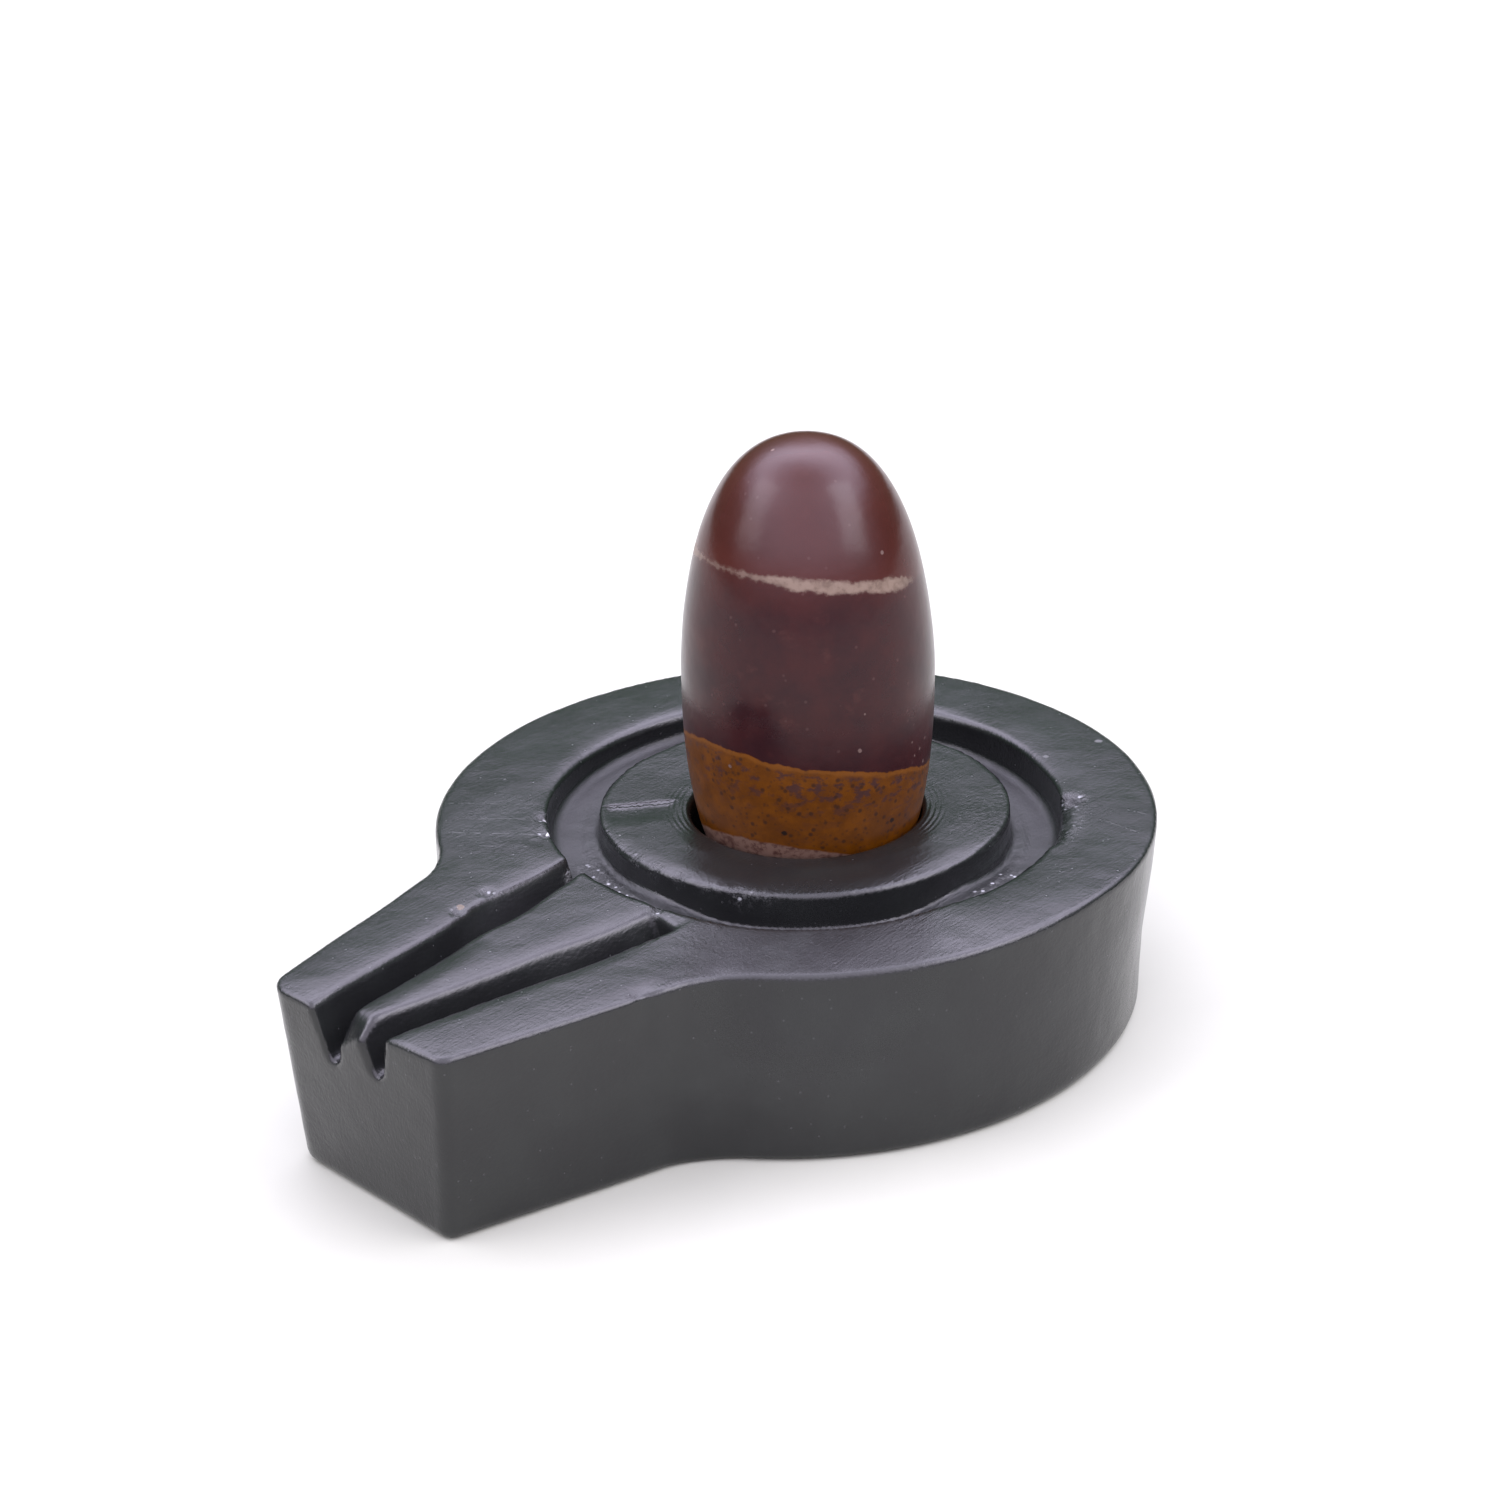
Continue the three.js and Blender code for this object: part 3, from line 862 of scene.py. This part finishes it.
# straight scratches on the top: start, end and width
SCRATCHES = (
    ((-19.0, 23.2), (-14.0, 15.7), 0.10),
    ((-22.8, 18.9), (-17.9, 11.6), 0.12),
    ((-20.6, 20.4), (-16.2, 14.1), 0.07),
    ((-23.9, 16.2), (-19.6, 10.3), 0.08),
    ((13.6, -21.3), (13.7, -26.3), 0.09),
    ((16.4, -21.8), (17.0, -24.0), 0.08),
)
SCRATCH_HEIGHTS = (15.7, 16.1)  # they show above these only, not down the walls
FINE_GRAIN = (0.3, 4.0, 0.65)  # size across, detail and roughness of the pattern
RING_PITCH = 0.45  # from one turned ring to the next


def pale_marks(paint):
    """The specks and the scratches, from 0 to 1."""
    marks = paint.times(paint.dots(0.5, 0.1, 0.24, 0.07), 0.3)
    for centre, radius, share in BASE_SPECKS:
        marks = paint.largest(marks, paint.times(paint.spot(centre, radius), share))
    on_top = paint.times(paint.step(paint.z, *SCRATCH_HEIGHTS), 0.4)
    broken = paint.step(paint.noise(1.2, 3.0, 0.7), 0.42, 0.6)
    for start, end, width in SCRATCHES:
        marks = paint.largest(marks, paint.times(paint.line(start, end, width), broken, on_top))
    return marks


def black_stone_colour(paint, grit, tooled, dust, marks):
    colour = paint.mix(paint.step(paint.noise(5.0, 4.0), 0.35, 0.75), BLACK_STONE, BLACK_STONE_PALE)
    colour = paint.mix(paint.times(paint.noise(*FINE_GRAIN), 0.3), colour, PALE_GRAIN)
    colour = paint.mix(paint.times(dust, 0.75), colour, STONE_DUST)
    level_lines = paint.noise(1.0, 3.0, 0.6, paint.stretched(0.2, 0.2, 1.6))
    cuts = paint.times(tooled, paint.step(level_lines, 0.52, 0.66), 0.35)
    colour = paint.mix(cuts, colour, CHISELLED)
    colour = paint.mix(marks, colour, SPECK)
    # painted glints: bright dots in the rough places stand in for light sparkling off the grit
    painted_glints = paint.times(paint.dots(0.6, 0.15, 0.36, 0.4), paint.step(grit, 0.05, 0.9))
    colour = paint.mix(painted_glints, colour, PAINTED_GLINT)
    for centre, radius in WHITE_FLAKES:
        colour = paint.mix(paint.spot(centre, radius), colour, WHITE)
    return paint.mix(paint.spot(*ORANGE_SPECK), colour, ORANGE)


def black_stone_roughness(paint, grit, sunk, pale):
    """Streaked down the walls, smeared on the top, duller in the channel and where it is pale."""
    upward = paint.step(paint.upward, 0.35, 0.75)
    streaks = paint.noise(1.0, 3.0, 0.6, paint.stretched(1.2, 1.2, 0.08))
    smears = paint.step(paint.noise(3.5, 4.0, 0.6, paint.stretched(0.6, 1.2, 1.0)), 0.35, 0.7)
    return paint.plus(
        BLACK_STONE_POLISH,
        paint.times(streaks, 0.12),
        paint.times(upward, smears, 0.07),
        paint.times(upward, sunk, 0.25),
        paint.times(pale, 0.3),
        paint.times(grit, 0.08),
        paint.times(paint.spot(*WORN_PATCH), 0.17),
    )


def add_black_stone_bumps(paint, grit, tooled, turned):
    flat_place = paint.vector("MULTIPLY", paint.place, (1.0, 1.0, 0.0))
    off_centre = paint.vector("DISTANCE", flat_place, SOCKET_AXIS)
    rings = paint.math("SINE", paint.times(off_centre, 2 * math.pi / RING_PITCH))
    chisel = paint.noise(1.0, 3.0, 0.6, paint.stretched(0.35, 0.35, 1.7))
    paint.bumps(
        (paint.minus(1.0, paint.line(*FACET_LINE, FACET_LINE_WIDTH)), 0.12),
        (paint.noise(*FINE_GRAIN), 0.03),
        (paint.noise(0.5, 2.0, 0.5, paint.stretched(0.25, 3.0, 1.0), 0.6), 0.02),
        (paint.times(paint.noise(0.5, 3.0, 0.7), grit), 0.3),
        (paint.noise(2.2, 2.0), 0.04),
        (paint.times(chisel, tooled), 0.22),
        (paint.times(rings, turned), 0.016),
    )


def black_stone():
    """Honed black stone: fine grain, faint cloudiness, pale dust and painted glints in the rough
    places.
    """
    paint = Painter("black_stone")
    grit, tooled, turned, sunk = (
        paint.add("Attribute", attribute_name=name).outputs["Fac"] for name in ATTRIBUTES
    )
    dust = paint.times(grit, paint.step(paint.noise(0.5, 3.0, 0.75), 0.52, 0.62))
    marks = pale_marks(paint)
    inputs = paint.shader.inputs
    paint.put(inputs["Base Color"], black_stone_colour(paint, grit, tooled, dust, marks))
    pale = paint.largest(marks, dust)
    paint.put(inputs["Roughness"], black_stone_roughness(paint, grit, sunk, pale))
    inputs["IOR"].default_value = BLACK_STONE_IOR
    add_black_stone_bumps(paint, grit, tooled, turned)
    return paint.material


# ---- The lingam stone's look: its markings are planes through the stone ----

# height over the stone's centre line, rise along x and rise along y
VEIN = (38.60, -0.167, 0.011)
BAND_TOP = (22.40, -0.259, -0.030)
WEDGE_TOP = (13.5, -0.395, -0.107)
# half the vein's thickness in millimetres, by angle round the stone
VEIN_HALF = (
    (-180, 0.15), (-168, 0.17), (-159, 0.24), (-150, 0.34), (-144, 0.54), (-137, 0.40), (-126, 0.54),
    (-114, 0.40), (-100, 0.45), (-90, 0.54), (-80, 0.34), (-69, 0.0), (95, 0.0), (128, 0.28),
    (137, 0.52), (144, 0.26), (156, 0.15), (180, 0.15),
)
# how far the band's upper edge rises over its plane, in millimetres, by angle round the stone
BAND_RISE = (
    (-180, 0.5), (-174, 0.35), (-166, 0.1), (-155, 0.0), (140, 0.0), (155, 0.2), (172, 0.4), (180, 0.5),
)
MAROON, MAROON_DEEP = (0.029, 0.0042, 0.0046), (0.017, 0.0026, 0.0040)
MAROON_PALE, MAROON_UPPER = (0.045, 0.012, 0.010), (0.050, 0.0130, 0.0095)
UPPER_PART = (36.0, 41.0)  # the heights between which the stone turns redder
CREAM, CREAM_SHADE = (0.17, 0.122, 0.092), (0.10, 0.066, 0.048)
RUST, FLECK, PALE_SPECK = (0.050, 0.011, 0.008), (0.085, 0.045, 0.04), (0.11, 0.07, 0.06)
OCHRE, OCHRE_DEEP, OCHRE_LINE = (0.112, 0.034, 0.0006), (0.078, 0.023, 0.0006), (0.15, 0.052, 0.006)
MOTTLE, DARK_DOT = (0.036, 0.016, 0.016), (0.010, 0.005, 0.003)
LARGE_DOT, SMALL_DOT = (0.022, 0.009, 0.005), (0.03, 0.012, 0.007)
ROSE, ROSE_DARK = (0.14, 0.085, 0.062), (0.055, 0.024, 0.018)
LINGAM_IOR, LINGAM_POLISH = 1.36, 0.17
DULL_FOOT = (31.0, 23.0)  # the heights between which the stone's polish gets duller
# pale specks on the stone, drawn a little smaller by the scale, and dark dots in its band: place
# and radius
STONE_SPECKS = (
    ((-3.1, -2.4, 46.4), 0.3),
    ((-1.5, 0.3, 47.9), 0.25),
    ((6.3, -6.4, 42.9), 0.3),
    ((6.2, -7.4, 41.4), 0.2),
    ((0.3, -9.4, 41.1), 0.24),
    ((-3.3, -10.6, 28.8), 0.12),
    ((-3.7, -10.4, 25.7), 0.26),
    ((3.8, -10.6, 22.2), 0.24),
    ((-9.6, -1.7, 23.9), 0.22),
    ((1.7, -11.2, 24.8), 0.16),
    ((3.0, -11.0, 23.7), 0.2),
    ((3.9, -10.7, 24.3), 0.18),
    ((2.2, -11.1, 23.4), 0.14),
)
STONE_SPECK_SCALE = 0.85
BAND_DOTS = (((-0.1, -10.6, 18.3), 0.3), ((-7.8, -5.8, 18.5), 0.3))


def height_over(paint, plane, ripple):
    """How far each place lies over one of the planes, with a ripple."""
    level, along_x, along_y = plane
    x = paint.times(paint.minus(paint.x, STONE_CENTRE[0]), -along_x)
    y = paint.times(paint.minus(paint.y, STONE_CENTRE[1]), -along_y)
    return paint.plus(x, y, paint.minus(paint.z, level), ripple)


def by_angle(paint, values):
    """A value that changes with the angle round the stone, which is in degrees."""
    x = paint.minus(paint.x, STONE_CENTRE[0])
    y = paint.minus(paint.y, STONE_CENTRE[1])
    turn = paint.plus(paint.math("DIVIDE", paint.math("ARCTAN2", y, x), 2 * math.pi), 0.5)
    return paint.ramp(turn, [((angle + 180) / 360, (value,) * 3) for angle, value in values])


def maroon(paint):
    colour = paint.mix(paint.step(paint.noise(4.0, 5.0, 0.6), 0.3, 0.7), MAROON_DEEP, MAROON)
    colour = paint.mix(paint.times(paint.step(paint.z, *UPPER_PART), 0.6), colour, MAROON_UPPER)
    patches = paint.step(paint.noise(2.4, 4.0, 0.6, paint.stretched(1, 1, 1.4)), 0.56, 0.72)
    colour = paint.mix(paint.times(patches, 0.5), colour, MAROON_PALE)
    return paint.mix(paint.times(paint.dots(0.9, 0.08, 0.2, 0.3), 0.3), colour, FLECK)


def add_vein(paint, colour):
    """The cream vein, with a rusty edge above it. Gives the colour, and where the vein is."""
    half = by_angle(paint, VEIN_HALF)
    over = height_over(paint, VEIN, paint.wobble(1.3, 0.1))
    ragged = paint.plus(half, paint.wobble(0.6, 0.24, 4.0))
    inside = paint.minus(ragged, paint.math("ABSOLUTE", over))
    vein = paint.times(paint.step(inside, -0.2, 0.2), paint.step(half, 0.0, 0.3))
    rusty = paint.times(paint.step(over, 2.4, 0.5), paint.step(over, -0.3, 0.3), 0.6)
    cream = paint.mix(paint.step(paint.noise(0.8, 3.0, 0.6), 0.4, 0.7), CREAM, CREAM_SHADE)
    return paint.mix(vein, paint.mix(rusty, colour, RUST), cream), vein


def add_band(paint, colour):
    """The ochre band, with a bright upper line, dark mottling under it and dark dots."""
    ripple = paint.minus(paint.wobble(2.6, 0.32), by_angle(paint, BAND_RISE))
    under = paint.times(height_over(paint, BAND_TOP, ripple), -1.0)
    ragged = paint.plus(under, paint.wobble(0.5, 0.1, 3.0))
    ochre = paint.mix(paint.step(paint.noise(1.4, 4.0, 0.6), 0.35, 0.7), OCHRE_DEEP, OCHRE)
    upper = paint.times(paint.step(under, 0.35, 0.8), paint.step(under, 5.5, 1.6))
    blotches = paint.step(paint.noise(1.0, 5.0, 0.65, paint.stretched(0.75, 0.75, 1.3)), 0.5, 0.6)
    mottle = paint.times(blotches, paint.plus(0.12, paint.times(upper, 0.75)))
    ochre = paint.mix(mottle, ochre, MOTTLE)
    ochre = paint.mix(paint.times(paint.dots(0.75, 0.14, 0.34, 0.6), 0.75), ochre, LARGE_DOT)
    ochre = paint.mix(paint.times(paint.dots(0.42, 0.14, 0.36, 0.6), 0.5), ochre, SMALL_DOT)
    line = paint.times(paint.step(ragged, 0.55, 0.25), paint.step(ragged, -0.05, 0.1), 0.6)
    ochre = paint.mix(line, ochre, OCHRE_LINE)
    for centre, radius in BAND_DOTS:
        ochre = paint.mix(paint.spot(centre, radius), ochre, DARK_DOT)
    return paint.mix(paint.step(ragged, -0.06, 0.06), colour, ochre)


def add_wedge(paint, colour):
    """The rose wedge at the foot."""
    over = height_over(paint, WEDGE_TOP, paint.wobble(1.6, 0.15, 3.0))
    rose = paint.mix(paint.step(paint.noise(0.7, 4.0, 0.65), 0.45, 0.65), ROSE, ROSE_DARK)
    return paint.mix(paint.step(over, 0.1, -0.1), colour, rose)


def lingam_finish():
    """Polished river stone: maroon, with a cream vein and an ochre band at the foot."""
    paint = Painter("lingam_finish")
    colour, vein = add_vein(paint, maroon(paint))
    colour = add_wedge(paint, add_band(paint, colour))
    for centre, radius in STONE_SPECKS:
        colour = paint.mix(paint.spot(centre, STONE_SPECK_SCALE * radius), colour, PALE_SPECK)
    paint.put(paint.shader.inputs["Base Color"], colour)
    rough = paint.plus(
        LINGAM_POLISH,
        paint.times(paint.noise(1.5, 4.0, 0.6), 0.1),
        paint.times(paint.step(paint.z, *DULL_FOOT), 0.14),
        paint.times(vein, 0.15),
    )
    paint.put(paint.shader.inputs["Roughness"], rough)
    paint.shader.inputs["IOR"].default_value = LINGAM_IOR
    paint.bumps((paint.noise(3.0, 2.0), 0.05), (paint.noise(0.4, 3.0, 0.6), 0.008))
    return paint.material


FLOOR, FLOOR_PALE, FLOOR_SPECK = (0.37, 0.381, 0.317), (0.40, 0.412, 0.342), (0.5, 0.48, 0.45)


def floor_finish():
    paint = Painter("pale_floor")
    clouds = paint.step(paint.noise(40.0, 4.0, 0.55), 0.3, 0.75)
    colour = paint.mix(clouds, FLOOR, FLOOR_PALE)
    specks = paint.times(paint.dots(9.0, 0.02, 0.06, 0.12), 0.15)
    colour = paint.mix(specks, colour, FLOOR_SPECK)
    paint.put(paint.shader.inputs["Base Color"], colour)
    paint.shader.inputs["Roughness"].default_value = 0.75
    paint.bumps((paint.noise(6.0, 3.0), 0.05))
    return paint.material


# ---- Stage, light and camera ----

CAMERA_AZIMUTH, CAMERA_ELEVATION, CAMERA_ROLL = -46.7, 24.744, -1.5534  # in degrees
CAMERA_TARGET = (5.08, 9.88, 16.69)
CAMERA_DISTANCE = 268.21
CAMERA_LENS = 74.4  # on the usual 36 mm sensor
FLOOR_HALF = 3000.0
# the soft panels: degrees round from the viewer, degrees up, turn in degrees, width, height
# and radiance
SOFTBOXES = {
    "right_panel": (66, 42, -30, 280.0, 500.0, 3.6),
    "left_panel": (-80, 40, 20, 300.0, 450.0, 2.4),
}
SOFTBOX_COLOUR = (0.95, 0.92, 1.0)
SOFTBOX_DISTANCE, SOFTBOX_AIM = 600.0, (0.0, 0.0, 30.0)
# the sky behind the object and on the viewer's side: how many degrees up, and the colour
SKY_BEHIND = (
    (0, (0.04, 0.09, 0.03)),
    (10, (0.06, 0.13, 0.07)),
    (18, (0.12, 0.22, 0.14)),
    (23, (0.21, 0.31, 0.24)),
    (26, (0.36, 0.45, 0.40)),
    (30, (0.95, 0.97, 1.1)),
    (33, (1.7, 1.65, 2.0)),
    (37, (2.9, 2.8, 3.5)),
    (42, (4.3, 4.1, 5.1)),
    (48, (5.3, 5.0, 6.3)),
    (56, (5.4, 5.1, 6.4)),
    (64, (4.7, 4.5, 5.7)),
    (73, (3.4, 3.2, 4.1)),
    (84, (2.5, 2.4, 2.9)),
)
SKY_VIEWER = (
    (0, (0.45, 0.42, 0.46)),
    (8, (1.0, 0.95, 1.1)),
    (16, (1.8, 1.7, 2.1)),
    (30, (2.8, 2.6, 3.2)),
    (48, (2.7, 2.5, 3.1)),
    (64, (2.1, 2.0, 2.4)),
    (84, (1.9, 1.85, 2.2)),
)
# where the one turns into the other, as the cosine of the angle from the viewer's side
SIDE_START, SIDE_END = 0.8, -0.2


def direction(side, rise):
    """A unit vector: side is the angle round from the camera and rise the angle up, in degrees."""
    heading = math.radians(CAMERA_AZIMUTH - 90 + side)
    level = math.cos(math.radians(rise))
    return Vector((level * math.cos(heading), level * math.sin(heading), math.sin(math.radians(rise))))


def add_floor():
    half = FLOOR_HALF
    corners = [(-half, -half, 0), (half, -half, 0), (half, half, 0), (-half, half, 0)]
    floor = add_object("floor", corners, [(0, 1, 2, 3)])
    floor.data.materials.append(floor_finish())


def add_camera():
    back, right = direction(0, CAMERA_ELEVATION), direction(90, 0)
    up = back.cross(right)
    roll = Matrix.Rotation(math.radians(CAMERA_ROLL), 3, back)
    axes = Matrix((roll @ right, roll @ up, back)).transposed()
    data = bpy.data.cameras.new("camera")
    data.lens = CAMERA_LENS
    data.clip_start = 0.01
    data.clip_end = 20
    camera = bpy.data.objects.new("camera", data)
    camera.matrix_world = axes.to_4x4()
    camera.location = (Vector(CAMERA_TARGET) + back * CAMERA_DISTANCE) * MM
    bpy.context.scene.collection.objects.link(camera)
    bpy.context.scene.camera = camera


def add_world():
    """A soft sky: dark and greenish low down, brightest half way up."""
    world = bpy.data.worlds.new("soft_sky")
    bpy.context.scene.world = world
    world.use_nodes = True
    sky = Nodes(world.node_tree)
    place = sky.add("TexCoord").outputs["Generated"]
    rise = sky.math("DIVIDE", sky.math("ARCSINE", sky.split(place)[2]), math.pi / 2)
    behind, viewer = (
        sky.ramp(rise, [(degrees / 90, colour) for degrees, colour in stops])
        for stops in (SKY_BEHIND, SKY_VIEWER)
    )
    side = sky.step(sky.vector("DOT_PRODUCT", place, direction(0, 0)), SIDE_END, SIDE_START)
    sky.put(sky.tree.nodes["Background"].inputs["Color"], sky.mix(side, behind, viewer))


def add_softbox(name, side, rise, turn, width, height, radiance):
    """A soft panel that faces the object. side is its angle round from the viewer, in degrees."""
    towards = direction(side, rise)
    data = bpy.data.lights.new(name, "AREA")
    data.shape = "RECTANGLE"
    data.size, data.size_y = width * MM, height * MM
    data.energy = radiance * math.pi * data.size * data.size_y
    data.color = SOFTBOX_COLOUR
    panel = bpy.data.objects.new(name, data)
    aim = towards.to_track_quat("Z", "Y") @ Quaternion((0, 0, 1), math.radians(turn))
    panel.rotation_euler = aim.to_euler()
    panel.location = (towards * SOFTBOX_DISTANCE + Vector(SOFTBOX_AIM)) * MM
    bpy.context.scene.collection.objects.link(panel)


def build():
    base = make_base()
    base.data.materials.append(black_stone())
    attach(base, "root")
    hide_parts(BASE_NODE)
    stone = make_stone()
    stone.data.materials.append(lingam_finish())
    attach(stone, "root")
    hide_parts(STONE_NODE)
    add_floor()
    add_camera()
    add_world()
    for name, sizes in SOFTBOXES.items():
        add_softbox(name, *sizes)
    bpy.context.scene.view_settings.view_transform = "Standard"


build()
